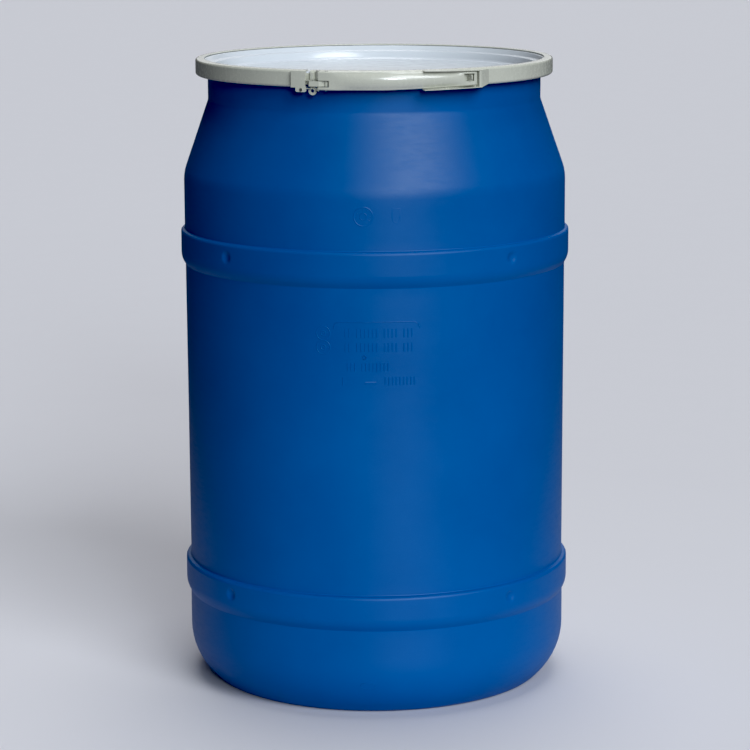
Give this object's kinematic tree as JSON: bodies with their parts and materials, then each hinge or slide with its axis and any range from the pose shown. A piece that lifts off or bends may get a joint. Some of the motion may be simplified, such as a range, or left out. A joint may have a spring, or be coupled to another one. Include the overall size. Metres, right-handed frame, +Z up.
{
  "type": "open-head plastic drum",
  "caption": "Blue moulded plastic open-head drum with rolling hoops, a recessed lid and a split steel closing ring drawn shut by a lever latch.",
  "frame": {"origin": "centre of the face that the drum stands on", "axes": "+Z up along the drum's axis, -Y towards the latch, +X to the right of someone who faces the latch"},
  "size_m": [0.5848, 0.5848, 0.9425],
  "materials": {
    "drum_blue": "matte moulded polyethylene, light moulding texture",
    "lid_pale": "smooth glossy moulded plastic",
    "gasket_rubber": "matte rubber",
    "ring_paint": "glossy beige-grey enamel on steel sheet",
    "zinc": "zinc-plated steel"
  },
  "bodies": {
    "drum": {"drum_body": "drum_blue"},
    "lid": {"lid": "lid_pale", "lid_gasket": "gasket_rubber"},
    "ring": {"ring_band": "ring_paint", "ring_tongue": "ring_paint", "anchor_bracket": "ring_paint", "anchor_rivet": "zinc", "catch_pin": "zinc", "pivot_bracket": "ring_paint", "pivot_rivets": "zinc", "seal_eye": "ring_paint", "saddle_bracket": "ring_paint", "lock_tab": "ring_paint"},
    "lever": {"lever_handle": "ring_paint", "link_pin": "zinc"},
    "link": {"link_strap": "ring_paint"}
  },
  "joints": [
    {"name": "lid_lift", "type": "slide", "parent": "drum", "child": "lid", "axis": [0, 0, 1], "range_m": [0, 0.25], "deforming": ["ring_band"]},
    {"name": "ring_lift", "type": "slide", "parent": "lid", "child": "ring", "axis": [0, 0, 1], "range_m": [0, 0.15], "deforming": ["ring_band"]},
    {"name": "lever_swing", "type": "hinge", "parent": "ring", "child": "lever", "pos_m": [-0.07895, -0.25904, 0.928], "axis": [0, 0, -1], "range_deg": [0, 120]},
    {"name": "link_swing", "type": "hinge", "parent": "lever", "child": "link", "pos_m": [-0.06742, -0.26165, 0.92375], "axis": [0, 0, -1], "range_deg": [-108, 0]}
  ],
  "couplings": [
    {"joint": "link_swing", "follows": "lever_swing", "ratio": -0.9}
  ]
}
